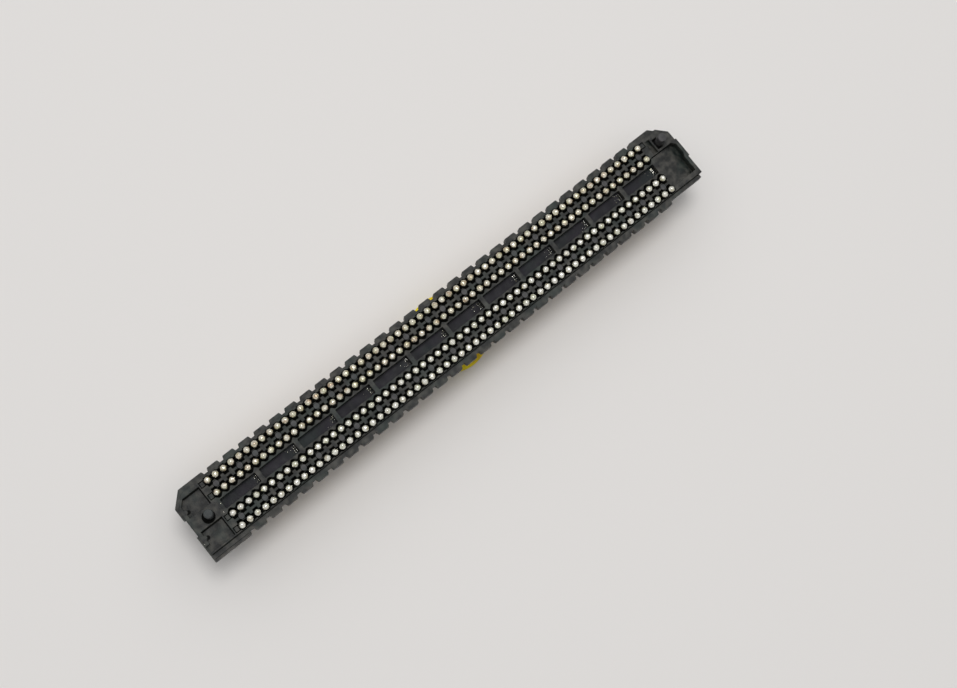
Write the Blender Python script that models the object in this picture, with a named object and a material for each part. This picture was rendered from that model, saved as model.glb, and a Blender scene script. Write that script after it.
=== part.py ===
"""Board to board connector, plug half, ball grid mount.

Four rows of sixty contacts at 0.635 mm. The connector rests on its two end guides with the
ball side up, as it lies before it is turned over and placed on a board.

X runs along the rows, +Y is the long side with two cut corners, +Z is the ball side.
The origin is under the middle of the housing, level with the tips of the end guides.
"""

import math

import bmesh
import bpy

MM = 0.001

# Contact field
PITCH = 0.635 * MM
POSITIONS = 60
INNER_ROW = 0.87 * MM
ROW_SPACING = 0.98 * MM
BANK = 5
LOOSE_BANKS = 1

# Heights, from the tips of the end guides upwards
GUIDE_REACH = 0.80 * MM
TONGUE_HEIGHT = 2.20 * MM
FLANGE_THICKNESS = 0.70 * MM
BODY_RISE = 0.12 * MM
GROOVE_DEPTH = 0.12 * MM
BALL_SINK = 0.03 * MM
POST_HEIGHT = 1.05 * MM

# Flange outline
END_LENGTH = 2.48 * MM
UPPER_MARGIN = 0.71 * MM
LOWER_MARGIN = 0.85 * MM
CORNER_CUT = 0.92 * MM
STEPPED_CUT = 0.84 * MM
CORNER_LEDGE = 0.16 * MM
RECESS_WIDTH = 1.36 * MM
KEY_UPPER = 0.83 * MM
KEY_LOWER = 0.69 * MM
KEY_DEPTH = 0.12 * MM
NOTCH_DEPTH = 0.24 * MM
NOTCH_MOUTH = 0.41 * MM
NOTCH_FLOOR = 0.28 * MM
UPPER_NOTCH_SHIFT = -0.11 * MM
END_RELIEF = 0.28 * MM

# Raised body
UPPER_RIM = 0.35 * MM
LOWER_RIM = 0.53 * MM
BODY_SETBACK = 0.03 * MM
BODY_CUT = 0.80 * MM
GROOVE_WIDTH = 0.56 * MM
GROOVE_END_MARGIN = 0.52 * MM
WINDOW_WIDTH = 0.74 * MM
WINDOW_DEPTH = 0.62 * MM
WINDOW_RIB = 0.33 * MM

# End pockets and posts
POCKET_DEPTH = 0.36 * MM
POCKET_WALL = 0.42 * MM
POCKET_GAP = 0.40 * MM
POST_RIB = 1.14 * MM
CORNER_POCKET_SIDE = 0.33 * MM
CORNER_POCKET_CUT = 0.37 * MM
LONG_POCKET_SIDE = 0.12 * MM
LONG_POCKET_STEP = 0.52 * MM
LONG_POCKET_RIM = 0.10 * MM
BOSS_RADIUS = 0.15 * MM
RAMP_GAP = 0.05 * MM
RAMP_RIM = 0.30 * MM
RAMP_BAY = 0.13 * MM
RAMP_BAY_LOWER = 0.30 * MM
RAMP_BAY_CUT = 0.28 * MM
RAMP_UPPER_Y = 0.78 * MM
RAMP_SIDE = 0.38 * MM
RAMP_DEPTH = 0.20 * MM
STEEP_RAMP_START = 1.15 * MM
STEEP_RAMP_DEPTH = 0.62 * MM
SMALL_RAMP_GAP = 0.40 * MM
SMALL_RAMP_LENGTH = 0.38 * MM
SMALL_RAMP_SIDE = 0.28 * MM
SMALL_RAMP_WALL = 0.08 * MM
SMALL_RAMP_DEPTH = 0.24 * MM
POST_RADIUS = 0.31 * MM
POST_CHAMFER = 0.06 * MM
CENTRE_POST_GAP = 0.95 * MM
CORNER_POST_GAP = 1.32 * MM
CORNER_POST_Y = 1.35 * MM
POST_RELIEF = 0.09 * MM
POST_SIDES = 16

# Tongues and end guides
TONGUE_MARGIN = 0.95 * MM
EDGE_BEVEL = 0.12 * MM
GUIDE_GAP = 0.55 * MM
GUIDE_SETBACK = 0.53 * MM
GUIDE_HALF_WIDTH = 1.35 * MM
GUIDE_LEAD = 0.35 * MM
GUIDE_LEAD_HEIGHT = 0.45 * MM

# Contacts and solder balls
BLADE_WIDTH = 0.42 * MM
BLADE_THICKNESS = 0.12 * MM
TIP_SETBACK = 0.14 * MM
BALL_RADIUS = 0.26 * MM
DOME_SIDES = 5
DOME_SEAT_RADIUS = 0.18 * MM
HOLE_SIDE_GAP = 0.02 * MM
HOLE_WIDTH = 0.30 * MM
FIT_GAP = 0.005 * MM
SET_IN = 0.005 * MM

# Pick-up pad
PAD_RADIUS = 2.85 * MM
PAD_THICKNESS = 0.08 * MM
PAD_SIDES = 36
PAD_OFFSET = 0.45 * MM
PAD_SIDE_OFFSET = 0.10 * MM

OVERLAP = 0.10 * MM

MATING_EDGE = GUIDE_REACH
FLANGE_FACE = MATING_EDGE + TONGUE_HEIGHT
TAB_FACE = FLANGE_FACE + FLANGE_THICKNESS
BODY_FACE = TAB_FACE + BODY_RISE
GROOVE_FLOOR = BODY_FACE - GROOVE_DEPTH
BALL_CENTRE = GROOVE_FLOOR + BALL_RADIUS - BALL_SINK
OUTER_ROW = INNER_ROW + ROW_SPACING
TONGUE_INNER = INNER_ROW + BLADE_THICKNESS / 2 + FIT_GAP
TONGUE_OUTER = OUTER_ROW - BLADE_THICKNESS / 2 - FIT_GAP
ROWS = {"a": OUTER_ROW, "b": INNER_ROW, "c": -INNER_ROW, "d": -OUTER_ROW}
FIELD_HALF = POSITIONS * PITCH / 2
HALF_LENGTH = FIELD_HALF + END_LENGTH
UPPER_EDGE = OUTER_ROW + UPPER_MARGIN
LOWER_EDGE = -OUTER_ROW - LOWER_MARGIN
BODY_UPPER = UPPER_EDGE - UPPER_RIM
BODY_LOWER = LOWER_EDGE + LOWER_RIM
PLAIN_END = HALF_LENGTH - KEY_DEPTH
BODY_END = PLAIN_END - BODY_SETBACK
RAMP_END = PLAIN_END - RAMP_RIM
POCKET_FLOOR = BODY_FACE - POCKET_DEPTH
CENTRE_POST_X = -FIELD_HALF - CENTRE_POST_GAP
CORNER_POST_X = FIELD_HALF + CORNER_POST_GAP

BLACK_PLASTIC = ((0.018, 0.019, 0.020, 1.0), 0.55, 0.0)
GOLD = ((0.80, 0.55, 0.18, 1.0), 0.28, 1.0)
SOLDER = ((0.72, 0.71, 0.68, 1.0), 0.35, 1.0)
AMBER_FILM = ((0.42, 0.26, 0.05, 1.0), 0.30, 0.0)


def clear_scene():
    for obj in list(bpy.data.objects):
        bpy.data.objects.remove(obj, do_unlink=True)


def material(name, finish):
    colour, roughness, metallic = finish
    made = bpy.data.materials.get(name)
    if made is None:
        made = bpy.data.materials.new(name)
        made.use_nodes = True
        shader = made.node_tree.nodes["Principled BSDF"]
        shader.inputs["Base Color"].default_value = colour
        shader.inputs["Roughness"].default_value = roughness
        shader.inputs["Metallic"].default_value = metallic
        made.diffuse_color = colour
    return made


def object_from(name, bm, finish=None):
    bmesh.ops.recalc_face_normals(bm, faces=bm.faces)
    mesh = bpy.data.meshes.new(name)
    bm.to_mesh(mesh)
    bm.free()
    obj = bpy.data.objects.new(name, mesh)
    bpy.context.scene.collection.objects.link(obj)
    if finish is not None:
        mesh.materials.append(material(name.rstrip("0123456789") + "_finish", finish))
    return obj


def helper(name, bm):
    obj = object_from(name, bm)
    obj.hide_render = True
    obj.display_type = "WIRE"
    return obj


def combine(obj, other, operation):
    modifier = obj.modifiers.new(other.name, "BOOLEAN")
    modifier.object = other
    modifier.operation = operation
    modifier.solver = "EXACT"


def loft(bm, loops):
    """Closed solid through equal loops of points, from the first to the last."""
    rings = [[bm.verts.new(point) for point in loop] for loop in loops]
    bm.faces.new(list(reversed(rings[0])))
    bm.faces.new(rings[-1])
    for lower, upper in zip(rings, rings[1:]):
        for i in range(len(lower)):
            j = (i + 1) % len(lower)
            bm.faces.new((lower[i], lower[j], upper[j], upper[i]))


def rectangle(x0, x1, y0, y1, z):
    return [(x0, y0, z), (x1, y0, z), (x1, y1, z), (x0, y1, z)]


def block(bm, x0, x1, y0, y1, z0, z1):
    loft(bm, [rectangle(x0, x1, y0, y1, z0), rectangle(x0, x1, y0, y1, z1)])


def prism(bm, outline, z0, z1):
    loft(bm, [[(x, y, z0) for x, y in outline], [(x, y, z1) for x, y in outline]])


def round_loop(x, y, z, radius, sides):
    turns = [math.tau * (i + 0.5) / sides for i in range(sides)]
    return [(x + radius * math.cos(t), y + radius * math.sin(t), z) for t in turns]


def position_x(index):
    return (index - (POSITIONS - 1) / 2) * PITCH


def side_notches(y_edge, inward, shift):
    """Points of the notches along one long side, from -X to +X, one notch to every two positions."""
    points = []
    for index in range(0, POSITIONS, 2):
        x = position_x(index) + PITCH / 2 + shift
        points += [
            (x - NOTCH_MOUTH / 2, y_edge),
            (x - NOTCH_FLOOR / 2, y_edge + inward * NOTCH_DEPTH),
            (x + NOTCH_FLOOR / 2, y_edge + inward * NOTCH_DEPTH),
            (x + NOTCH_MOUTH / 2, y_edge),
        ]
    return points


def flange_outline():
    """Counter-clockwise seen from the ball side, starting at the square corner of the -X end."""
    relief_y = LOWER_EDGE + NOTCH_DEPTH
    relief_x = PLAIN_END - END_RELIEF
    recess = RECESS_WIDTH / 2
    step_x, step_y = PLAIN_END - STEPPED_CUT, UPPER_EDGE - STEPPED_CUT
    ledge_y = UPPER_EDGE - 2 * CORNER_LEDGE
    lower = side_notches(LOWER_EDGE, 1, 0.0)[:-1]
    upper = side_notches(UPPER_EDGE, -1, UPPER_NOTCH_SHIFT)
    return [
        (-HALF_LENGTH, LOWER_EDGE),
        *lower,
        (relief_x, relief_y),
        (relief_x, relief_y + END_RELIEF),
        (PLAIN_END, relief_y + END_RELIEF),
        (PLAIN_END, -KEY_LOWER),
        (HALF_LENGTH, -KEY_LOWER),
        (HALF_LENGTH, KEY_UPPER),
        (PLAIN_END, KEY_UPPER),
        (PLAIN_END, step_y - CORNER_LEDGE),
        (step_x + CORNER_LEDGE, ledge_y),
        (step_x, ledge_y),
        (step_x - 2 * CORNER_LEDGE, UPPER_EDGE),
        *reversed(upper),
        (-HALF_LENGTH + CORNER_CUT, UPPER_EDGE),
        (-HALF_LENGTH, UPPER_EDGE - CORNER_CUT),
        (-HALF_LENGTH, recess),
        (-PLAIN_END, recess),
        (-PLAIN_END, -recess),
        (-HALF_LENGTH, -recess),
    ]


def flange():
    bm = bmesh.new()
    prism(bm, flange_outline(), FLANGE_FACE, TAB_FACE)
    return object_from("housing", bm, BLACK_PLASTIC)


def raised_body():
    """The low step of the ball side, which runs out over both ends inside the rim."""
    bm = bmesh.new()
    outline = [
        (-BODY_END, BODY_LOWER),
        (BODY_END, BODY_LOWER),
        (BODY_END, BODY_UPPER - BODY_CUT),
        (BODY_END - BODY_CUT, BODY_UPPER),
        (-BODY_END + BODY_CUT, BODY_UPPER),
        (-BODY_END, BODY_UPPER - BODY_CUT),
    ]
    prism(bm, outline, TAB_FACE - OVERLAP, BODY_FACE)
    return helper("raised_body", bm)


def tongues():
    bm = bmesh.new()
    for side in (1, -1):
        inner, outer = side * TONGUE_INNER, side * TONGUE_OUTER
        section = [
            (inner, FLANGE_FACE + OVERLAP),
            (inner, MATING_EDGE + EDGE_BEVEL),
            (inner + side * EDGE_BEVEL, MATING_EDGE),
            (outer - side * EDGE_BEVEL, MATING_EDGE),
            (outer, MATING_EDGE + EDGE_BEVEL),
            (outer, FLANGE_FACE + OVERLAP),
        ]
        end = FIELD_HALF + TONGUE_MARGIN
        loft(bm, [[(x, y, z) for y, z in section] for x in (-end, end)])
    return helper("tongues", bm)


def end_guides():
    bm = bmesh.new()
    inner, outer = FIELD_HALF + GUIDE_GAP, HALF_LENGTH - GUIDE_SETBACK
    lead, y = GUIDE_LEAD, GUIDE_HALF_WIDTH
    for x0, x1 in ((inner, outer), (-outer, -inner)):
        loft(
            bm,
            [
                rectangle(x0 + lead, x1 - lead, -y + lead, y - lead, 0.0),
                rectangle(x0, x1, -y, y, GUIDE_LEAD_HEIGHT),
                rectangle(x0, x1, -y, y, FLANGE_FACE + OVERLAP),
            ],
        )
    return helper("end_guides", bm)


def locating_posts():
    bm = bmesh.new()
    top = TAB_FACE + POST_HEIGHT
    for x, y in ((CENTRE_POST_X, 0.0), (CORNER_POST_X, CORNER_POST_Y)):
        loft(
            bm,
            [
                round_loop(x, y, POCKET_FLOOR - OVERLAP, POST_RADIUS, POST_SIDES),
                round_loop(x, y, top - POST_CHAMFER, POST_RADIUS, POST_SIDES),
                round_loop(x, y, top, POST_RADIUS - POST_CHAMFER, POST_SIDES),
            ],
        )
    return helper("locating_posts", bm)


def half_round(x, y):
    """The boss on an end pocket's wall, from its +Y end to its -Y end."""
    turns = [math.radians(a) for a in (90, 45, 0, -45, -90)]
    return [(x + BOSS_RADIUS * math.cos(t), y + BOSS_RADIUS * math.sin(t)) for t in turns]


def end_pockets():
    """The two pockets of the -X end, on either side of the rib with the centre post."""
    bm = bmesh.new()
    inner, wall = -FIELD_HALF - POCKET_GAP, -HALF_LENGTH + POCKET_WALL
    rib = POST_RIB / 2
    side = BODY_UPPER - CORNER_POCKET_SIDE
    cut = CORNER_POCKET_CUT
    corner_pocket = [
        (inner, rib),
        (inner, side),
        (wall + cut, side),
        (wall, side - cut),
        *half_round(wall, (rib + side - cut) / 2),
        (wall, rib),
    ]
    side = BODY_LOWER + LONG_POCKET_SIDE
    step = side + LONG_POCKET_STEP
    rim = -HALF_LENGTH + LONG_POCKET_RIM
    long_pocket = [
        (inner, side),
        (inner, -rib),
        (wall, -rib),
        *half_round(wall, (step - rib) / 2),
        (wall, step),
        (rim, step),
        (rim, side),
    ]
    for outline in (corner_pocket, long_pocket):
        prism(bm, outline, POCKET_FLOOR, BODY_FACE + OVERLAP)
    return helper("end_pockets", bm)


def post_relief():
    """The pocket beside the corner post, on the side of the contacts."""
    bm = bmesh.new()
    reach = POST_RADIUS + POST_RELIEF
    x, y = CORNER_POST_X, CORNER_POST_Y
    block(bm, x - reach, x, y - reach, y + reach, POCKET_FLOOR, BODY_FACE + OVERLAP)
    return helper("post_relief", bm)


def slope(bm, outline, x0, x1, depth):
    """Cutter with its floor at the face where x is x0, and down to the depth where x is x1."""
    floor = [(x, y, BODY_FACE - depth * (x - x0) / (x1 - x0)) for x, y in outline]
    loft(bm, [floor, [(x, y, BODY_FACE + OVERLAP) for x, y in outline]])


def ramp_outline(start):
    """The large sloped pocket from a place along X out to its bay in the key."""
    side = BODY_LOWER + RAMP_SIDE
    bay = RAMP_END + RAMP_BAY
    return [
        (start, side),
        (RAMP_END, side),
        (RAMP_END, -RAMP_BAY_LOWER - RAMP_BAY_CUT),
        (bay, -RAMP_BAY_LOWER),
        (bay, RAMP_UPPER_Y - RAMP_BAY_CUT),
        (bay - RAMP_BAY_CUT, RAMP_UPPER_Y),
        (start, RAMP_UPPER_Y),
    ]


def ramp_pockets():
    """The sloped pockets of the +X end: one with a bay in the key, and a small one beside it."""
    bm = bmesh.new()
    inner = FIELD_HALF + RAMP_GAP
    slope(bm, ramp_outline(inner), inner, RAMP_END, RAMP_DEPTH)
    start = FIELD_HALF + SMALL_RAMP_GAP
    end = start + SMALL_RAMP_LENGTH
    low = RAMP_UPPER_Y + SMALL_RAMP_WALL
    side = BODY_UPPER - SMALL_RAMP_SIDE
    small = [(start, low), (end, low), (end, side), (start, side)]
    slope(bm, small, start, end, SMALL_RAMP_DEPTH)
    return helper("ramp_pockets", bm)


def steep_ramp():
    """The outer part of the large sloped pocket, where its floor falls away to the end wall."""
    bm = bmesh.new()
    start = FIELD_HALF + STEEP_RAMP_START
    slope(bm, ramp_outline(start), start, RAMP_END, STEEP_RAMP_DEPTH)
    return helper("steep_ramp", bm)


def windows():
    bm = bmesh.new()
    half = WINDOW_WIDTH / 2
    rib = WINDOW_RIB / 2
    for bank in range(POSITIONS // BANK):
        x = bank * BANK * PITCH - FIELD_HALF
        floor, top = BODY_FACE - WINDOW_DEPTH, BODY_FACE + OVERLAP
        block(bm, x + rib, x + BANK * PITCH - rib, -half, half, floor, top)
    return helper("windows", bm)


def ball_grooves():
    bm = bmesh.new()
    end = FIELD_HALF - PITCH / 2 + GROOVE_END_MARGIN
    for y in ROWS.values():
        half = GROOVE_WIDTH / 2
        block(bm, -end, end, y - half, y + half, GROOVE_FLOOR, BODY_FACE + OVERLAP)
    return helper("ball_grooves", bm)


def loose_places():
    """(row, position) of the contacts that are pieces of their own."""
    return [(row, i) for row in ROWS for i in range(LOOSE_BANKS * BANK)]


def fused_places():
    return [(row, i) for row in ROWS for i in range(LOOSE_BANKS * BANK, POSITIONS)]


def contact_holes():
    """A hole under each loose contact, flush with the face of the tongue that the blade lies on."""
    bm = bmesh.new()
    half_x, half_y = BLADE_WIDTH / 2 + HOLE_SIDE_GAP, HOLE_WIDTH / 2
    for row, i in loose_places():
        x, y = position_x(i), ROWS[row]
        block(bm, x - half_x, x + half_x, y - half_y, y + half_y, FLANGE_FACE - FIT_GAP, BODY_FACE)
    return helper("contact_holes", bm)


def blade(bm, x, y, top):
    half_x, half_y = BLADE_WIDTH / 2, BLADE_THICKNESS / 2
    bottom = MATING_EDGE + TIP_SETBACK
    block(bm, x - half_x, x + half_x, y - half_y, y + half_y, bottom, top)


def fused_blades():
    """Blades past the node limit, set into the tongues that carry them."""
    bm = bmesh.new()
    for row, i in fused_places():
        y = ROWS[row]
        into_tongue = math.copysign(FIT_GAP + SET_IN, y)
        if row in "ad":
            into_tongue = -into_tongue
        blade(bm, position_x(i), y + into_tongue, FLANGE_FACE + OVERLAP)
    return helper("fused_blades", bm)


def ball(bm, x, y):
    made = bmesh.ops.create_icosphere(bm, subdivisions=1, radius=BALL_RADIUS)
    bmesh.ops.translate(bm, verts=made["verts"], vec=(x, y, BALL_CENTRE))


def dome(bm, x, y):
    """A ball with fewer faces: a cone on a cup that narrows down into the floor of the groove."""
    loops = [
        round_loop(x, y, GROOVE_FLOOR - BALL_SINK, DOME_SEAT_RADIUS, DOME_SIDES),
        round_loop(x, y, BALL_CENTRE, BALL_RADIUS, DOME_SIDES),
    ]
    seat, ring = [[bm.verts.new(point) for point in loop] for loop in loops]
    tip = bm.verts.new((x, y, BALL_CENTRE + BALL_RADIUS))
    bm.faces.new(list(reversed(seat)))
    for i in range(DOME_SIDES):
        j = (i + 1) % DOME_SIDES
        bm.faces.new((seat[i], seat[j], ring[j], ring[i]))
        bm.faces.new((ring[i], ring[j], tip))


def fused_balls():
    bm = bmesh.new()
    for row, i in fused_places():
        dome(bm, position_x(i), ROWS[row])
    return helper("fused_balls", bm)


def housing():
    made = flange()
    for piece in (raised_body(), tongues(), end_guides()):
        combine(made, piece, "UNION")
    pockets = (end_pockets(), ramp_pockets(), steep_ramp(), post_relief())
    for cutter in (*pockets, windows(), ball_grooves(), contact_holes()):
        combine(made, cutter, "DIFFERENCE")
    for piece in (locating_posts(), fused_blades(), fused_balls()):
        combine(made, piece, "UNION")
    return made


def contacts():
    top = BALL_CENTRE - BALL_RADIUS - FIT_GAP
    for row, i in loose_places():
        bm = bmesh.new()
        blade(bm, position_x(i), ROWS[row], top)
        object_from(f"contact_{row}{i + 1:02d}", bm, GOLD)


def solder_balls():
    for row, i in loose_places():
        bm = bmesh.new()
        ball(bm, position_x(i), ROWS[row])
        object_from(f"solder_ball_{row}{i + 1:02d}", bm, SOLDER)


def pickup_pad():
    bm = bmesh.new()
    levels = (MATING_EDGE - PAD_THICKNESS, MATING_EDGE)
    loft(bm, [round_loop(PAD_OFFSET, PAD_SIDE_OFFSET, z, PAD_RADIUS, PAD_SIDES) for z in levels])
    return object_from("pickup_pad", bm, AMBER_FILM)


def main():
    clear_scene()
    housing()
    contacts()
    solder_balls()
    pickup_pad()


main()
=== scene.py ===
"""Looks of a board to board connector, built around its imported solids.

One black moulded housing carries four rows of gold contacts with a solder ball on each, and a
round amber pad lies across its two tongues. It stands on its end guides with the ball side up.
"""

import logging
import math
import random
from dataclasses import dataclass, field
from enum import Enum

import bmesh
import bpy
from mathutils import Matrix, Vector

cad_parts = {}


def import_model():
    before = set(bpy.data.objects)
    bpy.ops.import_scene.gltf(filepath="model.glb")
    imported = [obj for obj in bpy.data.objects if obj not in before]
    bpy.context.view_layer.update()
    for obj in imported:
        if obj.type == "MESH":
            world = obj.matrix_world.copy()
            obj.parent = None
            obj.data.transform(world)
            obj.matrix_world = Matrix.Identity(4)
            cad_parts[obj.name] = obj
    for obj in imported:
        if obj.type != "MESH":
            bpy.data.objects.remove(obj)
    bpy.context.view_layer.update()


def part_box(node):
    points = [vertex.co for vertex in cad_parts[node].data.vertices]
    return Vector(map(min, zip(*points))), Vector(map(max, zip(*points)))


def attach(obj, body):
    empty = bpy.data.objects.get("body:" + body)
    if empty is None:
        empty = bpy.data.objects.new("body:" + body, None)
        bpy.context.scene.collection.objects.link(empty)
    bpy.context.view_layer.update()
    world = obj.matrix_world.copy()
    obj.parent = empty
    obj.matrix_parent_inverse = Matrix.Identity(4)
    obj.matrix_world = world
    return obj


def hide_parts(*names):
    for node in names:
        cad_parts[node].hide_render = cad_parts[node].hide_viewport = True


LOG = logging.getLogger("connector")
MM = 0.001
BODY = "root"
ROUNDING_SHARE = 0.4  # of the shorter side at a corner
LEVEL = 0.002 * MM  # two corners this close in height are level
EDGE_ANGLE = 35.0  # degrees, below which two faces shade as one surface
ALL_SMOOTH = 180.0  # degrees, for a piece without edges

Point = tuple[float, float]
Span = tuple[float, float]
Outline = list[Point]
Place = tuple[float, float, float]
Colour = tuple[float, float, float]
Mesh = bmesh.types.BMesh
Vert = bmesh.types.BMVert
Edge = bmesh.types.BMEdge
Face = bmesh.types.BMFace


class Slot(Enum):
    """Material slots of the record."""

    HOUSING = "housing"
    CONTACT = "contact"
    SOLDER = "solder"
    PAD = "pad"


class Row(Enum):
    """The four rows of contacts, from the +Y side to the -Y side."""

    A = "a"
    B = "b"
    C = "c"
    D = "d"

    @property
    def is_inner(self) -> bool:
        """Whether the row is one of the two beside the windows."""
        return self in (Row.B, Row.C)


def put(node: bpy.types.Node, name: str, value: object) -> None:
    """Sets the value of an input of a node."""
    node.inputs[name].default_value = value


def put_span(node: bpy.types.Node, end: str, span: Span) -> None:
    """Sets both limits of a Map Range node at one end, From or To."""
    put(node, f"{end} Min", span[0])
    put(node, f"{end} Max", span[1])


def add_object(name: str, data: bpy.types.ID) -> bpy.types.Object:
    """Adds an object to the scene.

    Args:
        name: Its name.
        data: Its mesh, light or camera.

    Returns:
        The object.
    """
    made = bpy.data.objects.new(name, data)
    bpy.context.scene.collection.objects.link(made)
    return made


@dataclass(frozen=True)
class Finish:
    """A surface with patches of a second colour, a tint, a gloss that varies and a grain."""

    name: str
    slot: Slot
    colour: Colour
    patch_colour: Colour
    patch_size: float
    patch_range: Span
    roughness: Span
    tint: Colour
    tint_size: float
    tint_range: Span = (0.48, 0.66)
    tint_share: float = 0.5
    gloss_range: Span = (0.3, 0.7)
    noise_detail: float = 3.0
    metallic: float = 0.0
    grain_size: float = 0.05 * MM
    grain_depth: float = 0.0
    transmission: float = 0.0
    specular: float = 0.5

    def material(self) -> bpy.types.Material:
        """Makes the material, or gives the one that was made before.

        Returns:
            The material, whose patterns all read Object coordinates.
        """
        made = bpy.data.materials.get(self.name)
        if made is not None:
            return made
        made = bpy.data.materials.new(self.name)
        made.use_nodes = True
        tree = made.node_tree
        shader = tree.nodes["Principled BSDF"]
        put(shader, "Metallic", self.metallic)
        put(shader, "Transmission Weight", self.transmission)
        put(shader, "Specular IOR Level", self.specular)
        place = tree.nodes.new("ShaderNodeTexCoord").outputs["Object"]
        patches = self._noise(tree, place, self.patch_size, self.patch_range)
        colours = self._mix(tree, patches, self.patch_colour)
        put(colours, "A", (*self.colour, 1.0))
        stains = self._noise(tree, place, self.tint_size, self.tint_range)
        put(stains, "To Max", self.tint_share)
        tinted = self._mix(tree, stains, self.tint)
        tree.links.new(colours.outputs["Result"], tinted.inputs["A"])
        tree.links.new(tinted.outputs["Result"], shader.inputs["Base Color"])
        gloss = self._noise(tree, place, self.patch_size / 2, self.gloss_range)
        put_span(gloss, "To", self.roughness)
        tree.links.new(gloss.outputs["Result"], shader.inputs["Roughness"])
        if self.grain_depth:
            grain = tree.nodes.new("ShaderNodeTexNoise")
            put(grain, "Scale", 1.0 / self.grain_size)
            bump = tree.nodes.new("ShaderNodeBump")
            put(bump, "Distance", self.grain_depth)
            tree.links.new(place, grain.inputs["Vector"])
            tree.links.new(grain.outputs["Fac"], bump.inputs["Height"])
            tree.links.new(bump.outputs["Normal"], shader.inputs["Normal"])
        made.diffuse_color = (*self.colour, 1.0)
        return made

    @staticmethod
    def _mix(tree: bpy.types.NodeTree, share: bpy.types.Node, colour: Colour) -> bpy.types.Node:
        """Adds a mix towards a colour.

        Args:
            tree: The material's nodes.
            share: The Map Range node that says how much of the colour there is.
            colour: The colour.

        Returns:
            The Mix node, whose input A is still free.
        """
        mix = tree.nodes.new("ShaderNodeMix")
        mix.data_type = "RGBA"
        put(mix, "B", (*colour, 1.0))
        tree.links.new(share.outputs["Result"], mix.inputs["Factor"])
        return mix

    def _noise(
        self, tree: bpy.types.NodeTree, place: bpy.types.NodeSocket, size: float, span: Span
    ) -> bpy.types.Node:
        """Adds a noise with a range of it spread over 0 to 1.

        Args:
            tree: The material's nodes.
            place: The coordinates that the noise reads.
            size: Rough size of one patch, in metres.
            span: Noise values that become 0 and 1.

        Returns:
            The Map Range node.
        """
        noise = tree.nodes.new("ShaderNodeTexNoise")
        put(noise, "Scale", 1.0 / size)
        put(noise, "Detail", self.noise_detail)
        spread = tree.nodes.new("ShaderNodeMapRange")
        put_span(spread, "From", span)
        tree.links.new(place, noise.inputs["Vector"])
        tree.links.new(noise.outputs["Fac"], spread.inputs["Value"])
        return spread


BLACK_PLASTIC = Finish(
    name="black_moulded_plastic",
    slot=Slot.HOUSING,
    colour=(0.005, 0.006, 0.006),
    patch_colour=(0.055, 0.053, 0.046),
    patch_size=0.42 * MM,
    patch_range=(0.40, 0.68),
    roughness=(0.44, 0.66),
    tint=(0.013, 0.028, 0.024),
    tint_size=1.7 * MM,
    grain_size=0.09 * MM,
    grain_depth=0.030 * MM,
    specular=0.35,
)
# Near-black plastic for thin sheets on groove floors, in shaded parts of pockets and round the
# discs: painted shade.
PAINTED_SHADE_PLASTIC = Finish(
    name="painted_shade_of_recesses",
    slot=Slot.HOUSING,
    colour=(0.002, 0.002, 0.002),
    patch_colour=(0.004, 0.004, 0.003),
    patch_size=0.5 * MM,
    patch_range=(0.35, 0.65),
    roughness=(0.75, 0.90),
    tint=(0.003, 0.004, 0.003),
    tint_size=1.0 * MM,
    specular=0.15,
)
WINDOW_PLASTIC = Finish(
    name="plastic_of_window_floors",
    slot=Slot.HOUSING,
    colour=(0.006, 0.006, 0.009),
    patch_colour=(0.016, 0.014, 0.020),
    patch_size=0.8 * MM,
    patch_range=(0.38, 0.62),
    roughness=(0.42, 0.60),
    tint=(0.008, 0.018, 0.016),
    tint_size=2.2 * MM,
    grain_size=0.10 * MM,
    grain_depth=0.022 * MM,
    specular=0.18,
)
STAINED_GOLD = Finish(
    name="stained_gold_plate",
    slot=Slot.CONTACT,
    colour=(0.86, 0.60, 0.24),
    patch_colour=(0.58, 0.30, 0.09),
    patch_size=0.45 * MM,
    patch_range=(0.52, 0.78),
    roughness=(0.24, 0.38),
    tint=(0.90, 0.74, 0.48),
    tint_size=0.8 * MM,
    metallic=1.0,
    grain_size=0.04 * MM,
    grain_depth=0.001 * MM,
)
# Paler than the black plastic. On the discs this is their own tone; on the posts it is painted
# light, standing for their lit tops.
PALE_PLASTIC = Finish(
    name="plastic_of_discs_and_posts",
    slot=Slot.HOUSING,
    colour=(0.018, 0.019, 0.021),
    patch_colour=(0.056, 0.053, 0.054),
    patch_size=0.5 * MM,
    patch_range=(0.35, 0.65),
    roughness=(0.40, 0.60),
    tint=(0.016, 0.029, 0.028),
    tint_size=1.6 * MM,
    grain_size=0.10 * MM,
    grain_depth=0.020 * MM,
    specular=0.36,
)
BRIGHT_SOLDER = Finish(
    name="bright_tin_solder",
    slot=Slot.SOLDER,
    colour=(0.76, 0.76, 0.71),
    patch_colour=(0.42, 0.38, 0.28),
    patch_size=0.30 * MM,
    patch_range=(0.50, 0.72),
    roughness=(0.14, 0.26),
    tint=(0.46, 0.49, 0.31),
    tint_size=0.55 * MM,
    metallic=1.0,
    grain_size=0.19 * MM,
    grain_depth=0.050 * MM,
)
DULL_SOLDER = Finish(
    name="dull_stained_solder",
    slot=Slot.SOLDER,
    colour=(0.72, 0.70, 0.61),
    patch_colour=(0.42, 0.32, 0.22),
    patch_size=0.34 * MM,
    patch_range=(0.46, 0.70),
    roughness=(0.16, 0.30),
    tint=(0.46, 0.47, 0.28),
    tint_size=0.50 * MM,
    metallic=1.0,
    grain_size=0.18 * MM,
    grain_depth=0.058 * MM,
)
AMBER_FILM = Finish(
    name="amber_film",
    slot=Slot.PAD,
    colour=(0.94, 0.84, 0.001),
    patch_colour=(0.72, 0.52, 0.001),
    patch_size=1.2 * MM,
    patch_range=(0.40, 0.65),
    roughness=(0.35, 0.50),
    tint=(0.84, 0.60, 0.001),
    tint_size=2.0 * MM,
    transmission=0.25,
    specular=0.1,
)


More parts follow.
